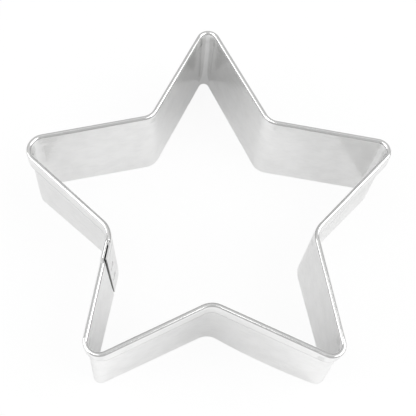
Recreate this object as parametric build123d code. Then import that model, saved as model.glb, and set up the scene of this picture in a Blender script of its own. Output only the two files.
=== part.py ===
from build123d import *
import math
import os

# A star cookie cutter, bent from one strip of tinplate.
#
# The strip stands on its cutting edge. Its upper edge is rolled over outwards into a
# safe rim, and its two ends lap at the left waist of the star, where spot welds join them.
# Millimetres and degrees. +Z is up, +Y points at the top tip and +X to the right tip.
# The origin lies on the cutting plane, in the middle of the cutter's outer box.

# The star, measured on the inner face of the strip, which cuts the cookie.
point_count = 5
cutter_depth = 25.4  # from the cutting edge to the top of the rolled rim
tip_circle_radius = 48.75  # from the centre to where two legs would cross at a tip
waist_circle_radius = 25.0  # the same at the waists between the tips
tip_bend_radius = 2.1
waist_bend_radius = 4.7

# The strip is bent by hand on a jig, so each corner lands a little off the true star.
# Tips are listed clockwise from the top one, and waists clockwise from the upper right.
waist_names = ("upper right", "right", "bottom", "left", "upper left")
tip_reach_shares = (1.01, 0.98, 1.0, 0.995, 0.995)
tip_bend_shares = (0.9, 1.05, 1.0, 1.2, 1.45)
tip_swing_degrees = (0.0, 0.25, -0.25, 0.0, -0.75)
waist_reach_shares = (1.0, 1.0, 1.015, 0.97, 1.025)
waist_bend_shares = (1.0, 1.1, 1.1, 1.2, 1.0)
waist_swing_degrees = (-1.25, 1.25, 0.75, -1.25, 3.25)

# The rim is stiff and the cutting edge is free, so the edge springs off the rim's line.
edge_tip_reach_shares = (1.025, 0.97, 1.015, 0.99, 1.005)
edge_tip_bend_shares = (0.7, 0.95, 1.0, 0.75, 1.35)
edge_waist_reach_shares = (0.98, 0.975, 1.025, 0.94, 1.025)
edge_waist_bend_shares = (1.0, 1.2, 1.05, 1.2, 1.0)

# One leg has also bowed outward along its edge. Legs count anticlockwise from the seam's.
edge_bow = 0.5
edge_bow_shares = (0, 0, 1, 0, 0, 0, 0, 0, 0, 0)

# The tinplate and its rolled rim.
sheet_thickness = 0.3
fold_inner_radius = 0.35
rim_height = 3.5  # from the top of the roll to the raw edge of the leaf folded down
leaf_spread = 0.15  # the leaf stands out by this much more at its raw edge, along the legs
leaf_tuck = 0.3  # its bends at the tips open by this much there, which draws them in

# The lap seam. The tail runs on flush with its leg, and the other end is joggled outward,
# so that it passes outside the tail up to the butt, with its roll squeezed narrower.
seam_waist = "left"
rim_past_bend = 0.2  # the rim runs on this far past the bend, up to the butt
rim_butt_gap = 0.15  # between the two blunt ends of the rim
lap_length = 4.3  # how far the two ends overlap under the rim
lap_edge_length = 3.6  # the same at the cutting edge, as the tail is cut a little askew
faying_gap = 0.08  # between the two lapped sheets, up to the raw edge of the leaf
rim_faying_gap = 0.3  # the same under the roll, where the outer end stands off
squeezed_rim_width = 0.85
joggle_length = 1.3
joggle_edge_length = 0.6  # the same at the cutting edge
joggle_clearance = 0.1  # between the end of the tail and the joggle
notch_depth = 0.8  # the rim is sheared off the tail this far below its top
notch_end_depth = 1.0  # the same at the end of the tail

# The spot welds in the lap.
weld_names = ("lower_spot_weld", "upper_spot_weld")
weld_diameter = 2.4
weld_mark_depth = 0.05  # the electrodes press each end of a weld this far below the sheet

# Sizes that follow from those above.
fold_outer_radius = fold_inner_radius + sheet_thickness
rim_width = 2 * fold_outer_radius
fold_height = cutter_depth - fold_outer_radius  # where the wall ends and the roll starts
raw_edge_height = cutter_depth - rim_height
leaf_reach = rim_width - sheet_thickness
lap_offset = sheet_thickness + faying_gap
rim_lap_offset = sheet_thickness + rim_faying_gap
rim_lap = (lap_length, joggle_length)
edge_lap = (lap_edge_length, joggle_edge_length)
step_degrees = 360 / point_count
seam_corner = waist_names.index(seam_waist)


def corner_point(radius, degrees_from_top):
    """A corner of the star, counted clockwise from the top."""
    angle = math.radians(degrees_from_top)
    return Vector(radius * math.sin(angle), radius * math.cos(angle), 0)


def star_corners(tip_shares, waist_shares):
    """The sharp corners of the inner face: one list of tips and one of waists."""
    tips = []
    waists = []
    for index in range(point_count):
        tip_turn = index * step_degrees + tip_swing_degrees[index]
        waist_turn = (index + 0.5) * step_degrees + waist_swing_degrees[index]
        tips.append(corner_point(tip_circle_radius * tip_shares[index], tip_turn))
        waists.append(corner_point(waist_circle_radius * waist_shares[index], waist_turn))
    return tips, waists


def outward(direction):
    """Square to a leg and away from the cookie, for a strip that runs anticlockwise."""
    return Vector(direction.Y, -direction.X, 0)


def strip_run(corners, tip_bends, waist_bends, lap, joggle):
    """The strip's inner face seen from above, anticlockwise from the joggle to the butt.

    Each corner has its point, its bend radius and its side: 1 at a tip and -1 at a waist.
    The first and the last are the two ends of the run, which have no bend.
    """
    tips, waists = corners
    waist = waists[seam_corner]
    leg = (tips[seam_corner] - waist).normalized()
    last_leg = (waist - tips[(seam_corner + 1) % point_count]).normalized()

    turn = math.radians(last_leg.get_angle(leg))
    seam_bend = waist_bend_radius * waist_bends[seam_corner]
    rim_end = waist + leg * (seam_bend * math.tan(turn / 2) + rim_past_bend)
    start = rim_end + leg * (rim_butt_gap + lap + joggle_clearance + joggle)

    run = [(start, 0, 0)]
    for step in range(point_count):
        tip = (seam_corner - step) % point_count
        next_waist = (tip - 1) % point_count
        run.append((tips[tip], tip_bend_radius * tip_bends[tip], 1))
        run.append((waists[next_waist], waist_bend_radius * waist_bends[next_waist], -1))
    run.append((rim_end, 0, 0))
    return run


def run_beside(run, reach, height, tuck=0):
    """The line at a height that runs beside a strip, at a reach outward from its inner face."""
    points = [point for point, bend, side in run]
    legs = [(far - near).normalized() for near, far in zip(points, points[1:])]
    moved = []
    for point, before, after in zip(points, legs[:1] + legs, legs + legs[-1:]):
        miter = (outward(before) + outward(after)) / (1 + before.dot(after))
        moved.append(point + miter * reach + Vector(0, 0, height))
    bends = [bend + side * reach + max(side, 0) * tuck for point, bend, side in run[1:-1]]
    return FilletPolyline(*moved, radius=bends)


def bowed(line, bow_shares):
    """The edges of a line, with those straight legs that have a bow drawn as shallow arcs."""
    edges = line.edges().sort_by(line)
    for leg, share in enumerate(bow_shares):
        straight = edges[2 * leg]
        if share:
            middle = straight @ 0.5 + outward(straight % 0.5) * edge_bow * share
            edges[2 * leg] = ThreePointArc(straight @ 0, middle, straight @ 1)
    return edges


def level_cut(run, near, far, height, tuck=0, bow_shares=()):
    """A sheet cut through level at a height: the face between two reaches."""
    inside = run_beside(run, near, height, tuck)
    outside = run_beside(run, far, height, tuck)
    ends = [Line(inside @ end, outside @ end) for end in (0, 1)]
    return make_face(bowed(inside, bow_shares) + bowed(outside, bow_shares) + ends)


def roll_section(point, direction, width=rim_width):
    """The roll over the top of the rim, cut across: the sheet in half a turn."""
    plane = Plane(origin=point, x_dir=outward(direction), z_dir=-direction)
    middle = (width / 2, 0)
    crest = EllipticalCenterArc(middle, width / 2, fold_outer_radius, arc_size=180)
    throat = EllipticalCenterArc(middle, width / 2 - sheet_thickness, fold_inner_radius, arc_size=180)
    feet = [Line(crest @ end, throat @ end) for end in (0, 1)]
    return plane * make_face([crest, throat] + feet)


def outer_end_row(line, lap, joggle, near, after):
    """Three points of the joggled end: where the joggle starts and ends, and the butt."""
    leg = line % 0
    joggle_end = line @ 0 - leg * joggle
    butt = joggle_end - leg * (joggle_clearance + lap)
    return [line @ 0 + outward(leg) * near] + [stop + outward(leg) * after for stop in (joggle_end, butt)]


def outer_end_cut(height, offset):
    """The wall of the joggled end cut through level, where it stands off the leg by an offset."""
    rows = []
    for reach in (0, sheet_thickness):
        foot = outer_end_row(edge_line, *edge_lap, reach, reach + offset)
        top = outer_end_row(fold_line, *rim_lap, reach, reach + offset)
        rows.append([low + (high - low) * (height / fold_height) for low, high in zip(foot, top)])
    return make_face(Polyline(*rows[0], *reversed(rows[1]), close=True))


def outer_end_leaf_cut(spread, height):
    """The leaf of the joggled end cut through level, spread outward by a length."""
    near = leaf_reach + spread
    after = rim_lap_offset + squeezed_rim_width - sheet_thickness + spread
    inside = outer_end_row(fold_line, *rim_lap, near, after)
    outside = outer_end_row(fold_line, *rim_lap, near + sheet_thickness, after + sheet_thickness)
    return Pos(0, 0, height - fold_height) * make_face(Polyline(*inside, *reversed(outside), close=True))


def tail_cut(line, length):
    """The tail cut through level, on from the end of a line that the strip follows."""
    near = line @ 1
    far = near + (line % 1) * length
    across = outward(line % 1) * sheet_thickness
    return make_face(Polyline(near, far, far + across, near + across, close=True))


def rim_notch(line, length):
    """The wedge above the tail that is sheared away with its rim, deeper towards the end."""
    leg = line % 1
    drop = Vector(0, 0, fold_outer_radius - notch_depth)
    slant = leg * length - Vector(0, 0, notch_end_depth - notch_depth)
    plane = Plane(origin=line @ 1 + drop, x_dir=slant, z_dir=outward(leg))
    side = plane * Rectangle(4 * length, rim_height, align=(Align.CENTER, Align.MIN))
    return extrude(side, amount=rim_width, both=True)


def weld_slug(seat, side, sink):
    """A round slug through the lap, with each end sunk below the sheet by a length."""
    disc = Plane(origin=seat + side * sink, z_dir=side) * Circle(weld_diameter / 2)
    return extrude(disc, amount=lap_offset + sheet_thickness - 2 * sink)


rim_corners = star_corners(tip_reach_shares, waist_reach_shares)
edge_corners = star_corners(edge_tip_reach_shares, edge_waist_reach_shares)
rim_run = strip_run(rim_corners, tip_bend_shares, waist_bend_shares, *rim_lap)
edge_run = strip_run(edge_corners, edge_tip_bend_shares, edge_waist_bend_shares, *edge_lap)
fold_line = run_beside(rim_run, 0, fold_height)
edge_line = run_beside(edge_run, 0, 0)

# The wall, from the cutting edge up to the line where the sheet starts to roll over.
wall_foot = level_cut(edge_run, 0, sheet_thickness, 0, bow_shares=edge_bow_shares)
wall_top = level_cut(rim_run, 0, sheet_thickness, fold_height)
wall = loft([wall_foot, wall_top], ruled=True)

# The roll, and the leaf that hangs from it down to the raw edge of the sheet.
roll = sweep(roll_section(fold_line @ 0, fold_line % 0), path=fold_line)
leaf_top = level_cut(rim_run, leaf_reach, rim_width, fold_height)
leaf_foot = level_cut(
    rim_run, leaf_reach + leaf_spread, rim_width + leaf_spread, raw_edge_height, leaf_tuck
)
leaf = loft([leaf_top, leaf_foot], ruled=True)

# The outer end of the lap, which stands off the leg, most of all under its squeezed roll.
outer_wall = loft(
    [
        outer_end_cut(0, lap_offset),
        outer_end_cut(raw_edge_height, lap_offset),
        outer_end_cut(fold_height, rim_lap_offset),
    ],
    ruled=True,
)
stops = outer_end_row(fold_line, *rim_lap, 0, rim_lap_offset)
widths = (rim_width, squeezed_rim_width, squeezed_rim_width)
outer_roll = loft(
    [roll_section(stop, fold_line % 0, width) for stop, width in zip(stops, widths)], ruled=True
)
outer_leaf = loft(
    [outer_end_leaf_cut(0, fold_height), outer_end_leaf_cut(leaf_spread, raw_edge_height)], ruled=True
)

# The tail, which runs on inside the outer end with its rim notched away.
tail_length = rim_butt_gap + lap_length
tail_foot = tail_cut(edge_line, rim_butt_gap + lap_edge_length)
tail = loft([tail_foot, tail_cut(fold_line, tail_length)], ruled=True)
tail -= rim_notch(fold_line, tail_length)
star_band = wall + roll + leaf + outer_wall + outer_roll + outer_leaf + tail

# The middle of the lap leans with the wall. The welds are spaced evenly up its plain part.
lap_foot = edge_line @ 1 + (edge_line % 1) * (rim_butt_gap + lap_edge_length / 2)
lap_top = fold_line @ 1 + (fold_line % 1) * (rim_butt_gap + lap_length / 2)
across_lap = (edge_line % 1 + fold_line % 1).cross(lap_top - lap_foot).normalized()
welds = {}
for index, name in enumerate(weld_names):
    height = raw_edge_height * (index + 1) / (len(weld_names) + 1)
    seat = lap_foot + (lap_top - lap_foot) * (height / fold_height)
    star_band -= weld_slug(seat, across_lap, -weld_mark_depth)
    welds[name] = weld_slug(seat, across_lap, weld_mark_depth)

# The origin moves to the middle of the outer box, on the cutting plane.
box = star_band.bounding_box()
to_middle = Pos(-box.center().X, -box.center().Y, 0)
nodes = {"star_band": to_middle * star_band}
for name, weld in welds.items():
    nodes[name] = to_middle * weld

os.makedirs("parts", exist_ok=True)
for name, solid in nodes.items():
    export_step(solid, f"parts/{name}.step")

outer_length = joggle_length + joggle_clearance + lap_length
print(f"strip length {outer_length + fold_line.length + tail_length:.1f} mm")
print(f"outer box {box.size.X:.2f} x {box.size.Y:.2f} x {box.size.Z:.2f} mm")
print(f"star centre at {-box.center().X:.3f}, {-box.center().Y:.3f} mm from the origin")
print(f"band volume {star_band.volume:.1f} mm3 in {len(star_band.solids())} solid")
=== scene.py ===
# %% [markdown]
# # A star cookie cutter in bright tinplate
#
# The cutter is one long strip of tinned steel, bent into a star. Its shape is already settled: the packed
# model holds the band with its rolled rim, and the two spot welds that close it. What is left for this
# lesson is what the eye sees: how bright tin mirrors a white table, where it is dull, and where work has
# marked it.
#
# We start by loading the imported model. Its pieces are the frame for everything else, and they never move.

# %% Load the cutter
import math

import bmesh
import bpy
from mathutils import Euler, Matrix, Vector


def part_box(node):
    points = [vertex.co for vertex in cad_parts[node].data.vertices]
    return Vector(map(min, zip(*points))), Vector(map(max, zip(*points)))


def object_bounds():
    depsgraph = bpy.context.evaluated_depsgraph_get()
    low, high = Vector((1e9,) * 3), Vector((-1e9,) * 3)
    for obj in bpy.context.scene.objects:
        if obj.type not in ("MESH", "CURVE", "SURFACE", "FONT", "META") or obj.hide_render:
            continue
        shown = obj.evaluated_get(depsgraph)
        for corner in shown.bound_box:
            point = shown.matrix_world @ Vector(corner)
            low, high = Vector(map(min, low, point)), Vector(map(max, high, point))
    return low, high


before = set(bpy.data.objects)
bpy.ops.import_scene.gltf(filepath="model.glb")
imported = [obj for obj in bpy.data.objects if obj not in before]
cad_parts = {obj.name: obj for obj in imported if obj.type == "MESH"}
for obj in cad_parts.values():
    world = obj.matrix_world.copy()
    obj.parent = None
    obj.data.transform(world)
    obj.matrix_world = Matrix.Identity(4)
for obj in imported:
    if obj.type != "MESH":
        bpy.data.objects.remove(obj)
cad_low, cad_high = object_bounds()

MM = 0.001
star_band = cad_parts["star_band"]
weld_pieces = [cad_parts[name] for name in ("lower_spot_weld", "upper_spot_weld")]
rim_top = cad_high.z
cutter_width = cad_high.x - cad_low.x
print(f"the cutter is {cutter_width / MM:.1f} mm wide, with its rim {rim_top / MM:.1f} mm above the table")

# %% [markdown]
# ## The camera
#
# The picture was taken from close by, looking down at about 65 degrees, with the camera a little to the
# left and turned a little about its own axis. A camera this close makes the cutting edge look smaller
# than the rim, so the distance matters as much as the angle. Its place and turn were worked out once from
# the straight edges of the rim and of the cutting edge. The lens is given for a sensor as wide as the
# square picture.

# %% Place the camera
camera_place = Vector((-11.84, -93.92, 212.39)) * MM
camera_turn = Euler([math.radians(angle) for angle in (24.834, -2.895, -0.942)])
camera_lens = 75.9
camera_sensor = 36.0
nearest_seen, farthest_seen = 5 * MM, 20.0

camera = bpy.data.objects.new("camera", bpy.data.cameras.new("camera"))
camera.data.sensor_width = camera_sensor
camera.data.lens = camera_lens
camera.data.clip_start = nearest_seen
camera.data.clip_end = farthest_seen
camera.location = camera_place
camera.rotation_euler = camera_turn
bpy.context.scene.collection.objects.link(camera)
bpy.context.scene.camera = camera
print(f"the camera stands {camera_place.length / MM:.0f} mm from the cutter")

# %% [markdown]
# ## The soft panels
#
# Bright metal has hardly any colour of its own: it shows what stands round it. So the studio is built for
# its reflections: two soft panels on the left with a dark gap between them, one on the right, and a weak
# one overhead. Nothing bright stands in front of the cutter, and that is what draws the grey lines along
# the rolls that run across the picture.
#
# Each panel is given by the direction it stands in, its size and the brightness that a mirror would show.
# From those the lamp's power follows, so a panel can be made larger and its mirror image stays as bright.

# %% Set up the soft panels
panel_distance = 1.0
soft_panels = {
    "left_low_panel": {"azimuth": 188.0, "elevation": 37.0, "size": (0.85, 0.36), "radiance": 2.6},
    "left_high_panel": {"azimuth": 198.0, "elevation": 70.0, "size": (0.55, 0.34), "radiance": 2.4},
    "right_panel": {"azimuth": -10.0, "elevation": 50.0, "size": (0.8, 0.7), "radiance": 2.7},
    "ceiling_panel": {"azimuth": 90.0, "elevation": 72.0, "size": (0.9, 0.6), "radiance": 0.2},
}


def soft_panel(name, azimuth, elevation, size, radiance):
    """A large rectangular lamp that faces the cutter. Its brightness is what a mirror would show."""
    lamp = bpy.data.lights.new(name, "AREA")
    lamp.shape = "RECTANGLE"
    lamp.size, lamp.size_y = size
    lamp.energy = radiance * math.pi * lamp.size * lamp.size_y
    panel = bpy.data.objects.new(name, lamp)
    turn, rise = math.radians(azimuth), math.radians(elevation)
    way = Vector((math.cos(turn) * math.cos(rise), math.sin(turn) * math.cos(rise), math.sin(rise)))
    panel.location = way * panel_distance
    panel.rotation_euler = (-way).to_track_quat("-Z", "Y").to_euler()
    bpy.context.scene.collection.objects.link(panel)
    return panel


for name, settings in soft_panels.items():
    panel = soft_panel(name, **settings)
    print(f"{panel.name} gives {panel.data.energy:.2f} W")

# %% [markdown]
# ## Small helpers for node trees
#
# The room, the table and the metals are all trees of nodes. A node tree reads best when one line says one
# thing, so three helpers do the wiring: one adds a node with its settings, one does a sum, and one shows
# a first shader or a second by a share.

# %% Helpers that add and link nodes


def add(tree, kind, **settings):
    """A node with its settings. A setting that starts with a capital letter is a socket's value."""
    node = tree.nodes.new("ShaderNode" + kind)
    for key, value in settings.items():
        if key[0].isupper():
            node.inputs[key].default_value = value
        else:
            setattr(node, key, value)
    return node


def math_node(tree, operation, *values):
    """A math node. Each value is a number, or a socket to link."""
    node = add(tree, "Math", operation=operation)
    for index, value in enumerate(values):
        if isinstance(value, (int, float)):
            node.inputs[index].default_value = value
        else:
            tree.links.new(value, node.inputs[index])
    return node.outputs[0]


def show_by_share(tree, share, low, high, output):
    """Put out the low shader where the share is 0 and the high one where it is 1."""
    blend = add(tree, "MixShader")
    for socket, source in (("Fac", share), (1, low.outputs[0]), (2, high.outputs[0])):
        tree.links.new(source, blend.inputs[socket])
    tree.links.new(blend.outputs["Shader"], output.inputs["Surface"])


print("three helpers are ready")

# %% [markdown]
# ## The room
#
# The rest of what the metal mirrors is a dim grey room, so the world is a plain grey. The camera itself
# sees a clean white world instead, and that adds no light to the cutter. The panels and the room together
# light a level sheet of white paper to just below white in the middle of the star, and to a tenth over
# white in the open, so a colour written in a material renders about as it is written.

# %% Build the room
room_grey = 0.54

world = bpy.data.worlds.new("room")
world.use_nodes = True
bpy.context.scene.world = world
room = world.node_tree
room.nodes.clear()
room_output = add(room, "OutputWorld")
room_light = add(room, "Background", Color=(room_grey, room_grey, room_grey, 1))
room_white = add(room, "Background", Color=(1, 1, 1, 1))
room_rays = add(room, "LightPath")
show_by_share(room, room_rays.outputs["Is Camera Ray"], room_light, room_white, room_output)

bpy.context.scene.view_settings.view_transform = "Standard"
print(f"the metal mirrors a room of grey {room_grey}, and the camera sees white")

# %% [markdown]
# ## The table
#
# The cutter stands on a seamless white table, a single large square. Its middle lies under the cutter,
# level with the cutting edge.

# %% Lay the table
table_size = 3.0

table_mesh = bpy.data.meshes.new("table")
shaper = bmesh.new()
bmesh.ops.create_grid(shaper, x_segments=1, y_segments=1, size=table_size / 2)
shaper.to_mesh(table_mesh)
shaper.free()
table = bpy.data.objects.new("table", table_mesh)
bpy.context.scene.collection.objects.link(table)
print(f"the table is {table_size:.0f} m wide")

# %% [markdown]
# The table is a plain matt sheet, so it darkens where the walls keep the light off it, and the metal
# mirrors that darkening: the grey that gathers in the corners of the star is the table's own shade. To
# the camera the sheet glows a little as well, which lifts it to a clean white and leaves only a breath of
# shadow. The metal sees a weaker share of the same glow.

# %% Paint the table
table_colour = 0.93
camera_glow = 0.92
mirror_glow = 0.24

table_paint = bpy.data.materials.new("white_table")
table_paint.use_nodes = True
tree = table_paint.node_tree
tree.nodes.clear()
matt = add(tree, "BsdfDiffuse", Color=(table_colour, table_colour, table_colour, 1))
glow = add(tree, "Emission")
rays = add(tree, "LightPath")
camera_share = math_node(tree, "MULTIPLY", rays.outputs["Is Camera Ray"], camera_glow)
glow_share = math_node(tree, "MULTIPLY_ADD", rays.outputs["Is Glossy Ray"], mirror_glow, camera_share)
show_by_share(tree, glow_share, matt, glow, add(tree, "OutputMaterial"))
table.data.materials.append(table_paint)
print(f"{table_paint.name} glows by {camera_glow} to the camera and by {mirror_glow} to the metal")

# %% [markdown]
# ## Marks of making and use, as reusable groups
#
# Bright tin is never even. Each mark in the next cells is a small group that reads a place on the metal,
# in metres, and gives out a value from 0 to 1. Both metals use the groups, with their own greys and gloss.
#
# A mark could also be painted on a picture and wrapped round the band. Noise that reads the place needs
# no wrapping, has no seams and stays sharp from close by, so it suits a sheet that is folded and lapped.

# %% Helpers for the marks


def ramp(tree, value, low, high, to_low=0.0, to_high=1.0, smooth=True):
    """Spread a value that runs from low to high over a new range, and hold it there."""
    node = add(tree, "MapRange", interpolation_type="SMOOTHSTEP" if smooth else "LINEAR")
    tree.links.new(value, node.inputs["Value"])
    for name, number in (("From Min", low), ("From Max", high), ("To Min", to_low), ("To Max", to_high)):
        node.inputs[name].default_value = number
    return node.outputs["Result"]


def noise(tree, place, scale, detail, roughness, stretch=(1, 1, 1)):
    """Smooth noise at a place, stretched where that is asked for."""
    mapping = add(tree, "Mapping", Scale=stretch)
    texture = add(tree, "TexNoise", Scale=scale, Detail=detail, Roughness=roughness)
    tree.links.new(place, mapping.inputs["Vector"])
    tree.links.new(mapping.outputs[0], texture.inputs["Vector"])
    return texture.outputs["Fac"]


def height_above_table(tree, place):
    """How high a place on the metal stands above the table."""
    split = add(tree, "SeparateXYZ")
    tree.links.new(place, split.inputs[0])
    return split.outputs["Z"]


def mark_group(name, output_name, *inputs):
    """An empty group that reads vectors and gives out one value, with its inputs and its output socket."""
    group = bpy.data.node_groups.new(name, "ShaderNodeTree")
    for input_name in inputs:
        group.interface.new_socket(name=input_name, in_out="INPUT", socket_type="NodeSocketVector")
    group.interface.new_socket(name=output_name, in_out="OUTPUT", socket_type="NodeSocketFloat")
    start = group.nodes.new("NodeGroupInput")
    return group, start.outputs, group.nodes.new("NodeGroupOutput").inputs[output_name]


print("helpers for ramps, noise and groups are ready")

# %% [markdown]
# ## The rolled grain and the clouding of the tin
#
# The sheet was rolled lengthwise, and that leaves fine lines that run level along the strip. Noise that
# is squeezed far more in height than along the sheet gives such lines. The tin coat froze in soft patches
# a few millimetres across, which plain noise shows well.

# %% Build the grain and the clouding
grain_lines = (420.0, 420.0, 2600.0)
grain_detail, grain_roughness = 3.0, 0.6
grain_range = (0.3, 0.7)
cloud_scale = 260.0
cloud_detail, cloud_roughness = 4.0, 0.55
cloud_range = (0.35, 0.68)

grain_group, given, result = mark_group("rolled_grain", "Grain", "Place")
lines = noise(grain_group, given["Place"], 1.0, grain_detail, grain_roughness, grain_lines)
grain_group.links.new(ramp(grain_group, lines, *grain_range, smooth=False), result)

cloud_group, given, result = mark_group("tin_clouding", "Cloud", "Place")
patches = noise(cloud_group, given["Place"], cloud_scale, cloud_detail, cloud_roughness)
cloud_group.links.new(ramp(cloud_group, patches, *cloud_range), result)
print(f"{grain_group.name} and {cloud_group.name} are ready")

# %% [markdown]
# ## Hairline scratches
#
# Washing and stacking leave hairline scratches, each short and seen only here and there. The edges
# between the cells of a Voronoi texture are thin lines, and a strong stretch draws them out into
# scratches. Three sets that lie different ways are laid over each other, and a slow noise hides most of
# them.

# %% Build the scratches
scratch_scale = 420.0
scratch_sets = ((0.5, (1.0, 0.05, 0.3)), (-0.9, (0.06, 1.0, 1.0)), (0.2, (0.3, 0.3, 1.6)))
scratch_lean = 0.4
scratch_width = 0.035
patch_scale = scratch_scale / 3
patch_detail, patch_roughness = 2.0, 0.5
patch_range = (0.5, 0.62)

scratch_group, given, result = mark_group("hairline_scratches", "Scratch", "Place")
scratches = None
for turn, stretch in scratch_sets:
    mapping = add(scratch_group, "Mapping", Rotation=(turn, scratch_lean, turn), Scale=stretch)
    cells = add(scratch_group, "TexVoronoi", feature="DISTANCE_TO_EDGE", Scale=scratch_scale)
    scratch_group.links.new(given["Place"], mapping.inputs["Vector"])
    scratch_group.links.new(mapping.outputs[0], cells.inputs["Vector"])
    lines = ramp(scratch_group, cells.outputs["Distance"], 0.0, scratch_width, 1.0, 0.0)
    scratches = math_node(scratch_group, "MAXIMUM", scratches, lines) if scratches else lines
patches = noise(scratch_group, given["Place"], patch_scale, patch_detail, patch_roughness)
seen = ramp(scratch_group, patches, *patch_range)
scratch_group.links.new(math_node(scratch_group, "MULTIPLY", scratches, seen), result)
print(f"{scratch_group.name} has {len(scratch_sets)} sets of scratches")

# %% [markdown]
# ## The waves of the sheet
#
# No strip is quite flat. Its waves are wide and very shallow, and only bend what the walls mirror. So
# they are a height for the normal to follow, and the shape stays as it is.

# %% Build the waves
wave_scale = 55.0
wave_detail, wave_roughness = 1.0, 0.4
wave_stretch = (1, 1, 0.8)

wave_group, given, result = mark_group("sheet_waves", "Height", "Place")
waves = noise(wave_group, given["Place"], wave_scale, wave_detail, wave_roughness, wave_stretch)
wave_group.links.new(waves, result)
print(f"{wave_group.name} are about {1 / wave_scale / MM:.0f} mm wide")

# %% [markdown]
# ## The puckers of the hem
#
# Where the strip is bent, its rolled edge is squeezed at the waists and stretched at the tips, and it
# puckers. The group keeps these small folds near the height of the hem, and near the bends: the waists
# are the places close to the middle of the star, and the tips are the places far from it. Over the top of
# the roll they fade to a quarter, because the die kept it smooth there.

# %% Build the puckers
pucker_scale = 380.0
pucker_detail, pucker_roughness = 1.0, 0.4
pucker_stretch = (1, 1, 0.45)
hem_low, hem_high = rim_top - 4.6 * MM, rim_top - 2.8 * MM
roll_low, roll_high = rim_top - 1.3 * MM, rim_top - 0.8 * MM
roll_share = 0.25
waist_reach, waist_end = 25.5 * MM, 30.0 * MM
tip_start, tip_reach = 41.0 * MM, 45.1 * MM
star_middle = Vector((-0.083, -4.627, 0)) * MM  # the middle of the star, seen from the middle of its box

pucker_group, given, result = mark_group("hem_puckers", "Height", "Place")
height = height_above_table(pucker_group, given["Place"])
level_place = add(pucker_group, "Mapping", Location=-star_middle, Scale=(1, 1, 0))
pucker_group.links.new(given["Place"], level_place.inputs["Vector"])
from_middle = add(pucker_group, "VectorMath", operation="LENGTH")
pucker_group.links.new(level_place.outputs[0], from_middle.inputs[0])

at_hem = ramp(pucker_group, height, hem_low, hem_high)
below_roll = ramp(pucker_group, height, roll_low, roll_high, 1.0, roll_share)
at_waist = ramp(pucker_group, from_middle.outputs["Value"], waist_reach, waist_end, 1.0, 0.0)
at_tip = ramp(pucker_group, from_middle.outputs["Value"], tip_start, tip_reach)
at_bend = math_node(pucker_group, "MAXIMUM", at_waist, at_tip)
in_hem = math_node(pucker_group, "MULTIPLY", at_hem, below_roll)
near_hem = math_node(pucker_group, "MULTIPLY", in_hem, at_bend)

folds = noise(pucker_group, given["Place"], pucker_scale, pucker_detail, pucker_roughness, pucker_stretch)
pucker_group.links.new(math_node(pucker_group, "MULTIPLY", folds, near_hem), result)
print(f"{pucker_group.name} start {hem_low / MM:.1f} mm above the table")

# %% [markdown]
# ## The sheared faces
#
# Where a strip is sheared, its bare steel core shows as a dull grey line: along the cutting edge and the
# raw edge of the hem, which are the only faces that look straight down, and at the blunt ends at the
# seam, which look along the leg. The last group finds those faces from their normal and from how close
# they are to the seam, because a mark by place alone would spill over onto the walls.

# %% Find the faces that look down and the blunt ends
down_range = (0.85, 0.95)
along_range = (0.9, 0.96)
seam_way = Vector((0.194, 0.981, 0))  # the way that the leg runs at the seam
seam_near, seam_reach = 15.2 * MM, 16.0 * MM
weld_middles = [sum(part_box(piece.name), Vector()) / 2 for piece in weld_pieces]
seam_middle = sum(weld_middles, Vector()) / len(weld_middles)

# This group marks the sheared faces, and further down also the painted shade line along the hem.
cut_and_shade_group, given, result = mark_group("sheared_faces_and_shade_line", "CutAndShade", "Place", "Facing")
down = add(cut_and_shade_group, "VectorMath", operation="DOT_PRODUCT")
down.inputs[1].default_value = (0, 0, -1)
cut_and_shade_group.links.new(given["Facing"], down.inputs[0])
along = add(cut_and_shade_group, "VectorMath", operation="DOT_PRODUCT")
along.inputs[1].default_value = seam_way
cut_and_shade_group.links.new(given["Facing"], along.inputs[0])
away = add(cut_and_shade_group, "VectorMath", operation="DISTANCE")
away.inputs[1].default_value = seam_middle
cut_and_shade_group.links.new(given["Place"], away.inputs[0])

faces_down = ramp(cut_and_shade_group, down.outputs["Value"], *down_range)
faces_along = ramp(cut_and_shade_group, math_node(cut_and_shade_group, "ABSOLUTE", along.outputs["Value"]), *along_range)
near_seam = ramp(cut_and_shade_group, away.outputs["Value"], seam_near, seam_reach, 1.0, 0.0)
blunt_end = math_node(cut_and_shade_group, "MULTIPLY", faces_along, near_seam)
sheared = math_node(cut_and_shade_group, "MAXIMUM", faces_down, blunt_end)
print(f"the middle of the seam is at {seam_middle.x / MM:.1f}, {seam_middle.y / MM:.1f} mm")

# %% [markdown]
# A thin line of painted shade runs along the hem's raw edge, at the foot of its outer face, in the bare
# steel grey. A face looks outwards where its normal points away from the middle of the star, and the
# height above the table picks the narrow strip.

# %% Add a painted shade line along the hem
# Painted shade: a thin darker band along the foot of the hem's leaf, on faces that look outwards.
shade_line_low = rim_top - 3.5 * MM  # the raw edge of the hem's leaf
shade_line_width = 0.35 * MM
shade_line_share = 0.5
outward_reach = 1.0 * MM

from_star = add(cut_and_shade_group, "VectorMath", operation="SUBTRACT")
from_star.inputs[1].default_value = star_middle
cut_and_shade_group.links.new(given["Place"], from_star.inputs[0])
outward = add(cut_and_shade_group, "VectorMath", operation="DOT_PRODUCT")
cut_and_shade_group.links.new(given["Facing"], outward.inputs[0])
cut_and_shade_group.links.new(from_star.outputs[0], outward.inputs[1])
faces_out = ramp(cut_and_shade_group, outward.outputs["Value"], 0.0, outward_reach)

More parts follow.
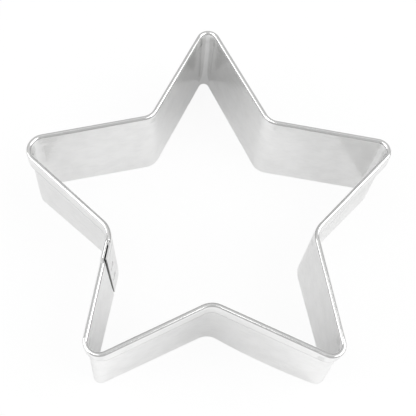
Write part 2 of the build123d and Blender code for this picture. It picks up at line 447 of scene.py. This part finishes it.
height = height_above_table(cut_and_shade_group, given["Place"])
above_edge = ramp(cut_and_shade_group, height, shade_line_low - shade_line_width / 4, shade_line_low)
below_top = ramp(cut_and_shade_group, height, shade_line_low + shade_line_width / 2, shade_line_low + shade_line_width, 1.0, 0.0)
at_shade_line = math_node(cut_and_shade_group, "MULTIPLY", above_edge, below_top)
outer_shade_line = math_node(cut_and_shade_group, "MULTIPLY", faces_out, at_shade_line)
painted_shade_line = math_node(cut_and_shade_group, "MULTIPLY", outer_shade_line, shade_line_share)
# The group gives out the sheared faces and the painted shade line together.
cut_and_shade_group.links.new(math_node(cut_and_shade_group, "MAXIMUM", sheared, painted_shade_line), result)
print(f"the burr is {shade_line_width / MM:.2f} mm wide")
print(f"{len(bpy.data.node_groups)} groups of marks are ready")

# %% [markdown]
# ## The two metals
#
# Tinplate is bright and a little soft. Its clouding shifts both the grey and the gloss, the grain is
# mostly a matter of gloss and of a very small relief, and the scratches catch the light. The crests of
# the puckers carry painted shade, a little darker grey. The welds are the same sheet pressed and heated,
# so they share every mark and are only duller and rougher.
#
# First come three helpers: one places a group, one mixes two colours by a share, and one bends the normal
# by a height, whose relief is a length.

# %% Helpers for the metals


def use_group(tree, group, **links):
    """Put a group into a tree, link sockets to it by their names, and give back what it gives out."""
    node = tree.nodes.new("ShaderNodeGroup")
    node.node_tree = group
    for name, socket in links.items():
        tree.links.new(socket, node.inputs[name])
    return node.outputs[0]


def mixed(tree, share, low, high):
    """A colour between two, by a share. Each is a colour or a socket."""
    node = add(tree, "Mix", data_type="RGBA")
    tree.links.new(share, node.inputs["Factor"])
    low_socket, high_socket = node.inputs[6], node.inputs[7]
    for socket, value in ((low_socket, low), (high_socket, high)):
        if isinstance(value, tuple):
            socket.default_value = (*value, 1)
        else:
            tree.links.new(value, socket)
    return node.outputs[2]


def bumped(tree, height, relief, normal=None):
    """A normal bent by a height that runs from 0 to 1, with its relief as a length."""
    node = add(tree, "Bump", Strength=1.0, Distance=relief)
    tree.links.new(height, node.inputs["Height"])
    if normal:
        tree.links.new(normal, node.inputs["Normal"])
    return node.outputs["Normal"]


print("helpers for groups, colours and relief are ready")

# %% [markdown]
# The metal is written once, as a function with two greys and a range of roughness, and both metals call
# it. The colour, the roughness and the relief each take their share of the marks.

# %% Write the tinned metal
bare_steel_and_shade_grey = (0.36, 0.36, 0.355)
steel_roughness = 0.55
# Painted shade: the crests of the puckers are painted a darker grey.
pucker_shade_grey = (0.50, 0.50, 0.495)
pucker_shade_heights = (0.46, 0.64)
pucker_shade_share = 0.3
grain_share = 0.5
scratch_softness = 0.06
grain_relief = 0.0016 * MM
scratch_relief = -0.0005 * MM
wave_relief = 0.12 * MM
pucker_relief = 0.2 * MM


def tinned_metal(name, greys, gloss):
    """A tinned sheet with every mark of its making, in two greys and a range of roughness."""
    made = bpy.data.materials.new(name)
    made.use_nodes = True
    tree = made.node_tree
    shader = tree.nodes["Principled BSDF"]
    shader.inputs["Metallic"].default_value = 1.0
    where = add(tree, "TexCoord")
    place = where.outputs["Object"]
    grain = use_group(tree, grain_group, Place=place)
    cloud = use_group(tree, cloud_group, Place=place)
    scratch = use_group(tree, scratch_group, Place=place)
    waves = use_group(tree, wave_group, Place=place)
    puckers = use_group(tree, pucker_group, Place=place)
    cut_and_shade = use_group(tree, cut_and_shade_group, Place=place, Facing=where.outputs["Normal"])

    clouded = math_node(tree, "MULTIPLY", cloud, 1 - grain_share)
    mottle = math_node(tree, "MULTIPLY_ADD", grain, grain_share, clouded)
    # Painted shade on the pucker crests darkens the sheet's grey.
    pucker_shade = ramp(tree, puckers, *pucker_shade_heights, 0.0, pucker_shade_share)
    sheet_colour = mixed(tree, pucker_shade, mixed(tree, mottle, *greys), pucker_shade_grey)
    # Sheared faces and the painted shade line along the hem both take the bare steel grey.
    tree.links.new(mixed(tree, cut_and_shade, sheet_colour, bare_steel_and_shade_grey), shader.inputs["Base Color"])

    softness = ramp(tree, mottle, 0.0, 1.0, *gloss, smooth=False)
    scratched = math_node(tree, "MULTIPLY_ADD", scratch, scratch_softness, softness)
    shear_and_shade_roughness = math_node(tree, "MULTIPLY", cut_and_shade, steel_roughness)
    tree.links.new(math_node(tree, "MAXIMUM", scratched, shear_and_shade_roughness), shader.inputs["Roughness"])

    normal = bumped(tree, waves, wave_relief)
    normal = bumped(tree, puckers, pucker_relief, normal)
    normal = bumped(tree, grain, grain_relief, normal)
    normal = bumped(tree, scratch, scratch_relief, normal)
    tree.links.new(normal, shader.inputs["Normal"])
    return made


print(f"bare steel is {bare_steel_and_shade_grey[0]} bright, and the puckers stand {pucker_relief / MM:.1f} mm high")

# %% [markdown]
# The greys below are the two ends of the clouding, and the gloss is the roughness at those same ends.

# %% Paint the band and the welds
tin_greys = ((0.88, 0.88, 0.877), (0.81, 0.81, 0.807))
weld_greys = ((0.82, 0.82, 0.816), (0.74, 0.74, 0.736))
tin_gloss = (0.12, 0.21)
weld_gloss = (0.22, 0.34)

tinplate = tinned_metal("bright_tinplate", tin_greys, tin_gloss)
weld_metal = tinned_metal("weld_metal", weld_greys, weld_gloss)
star_band.data.materials[0] = tinplate
for weld in weld_pieces:
    weld.data.materials[0] = weld_metal
print(f"{tinplate.name} has {len(tinplate.node_tree.nodes)} nodes of its own")
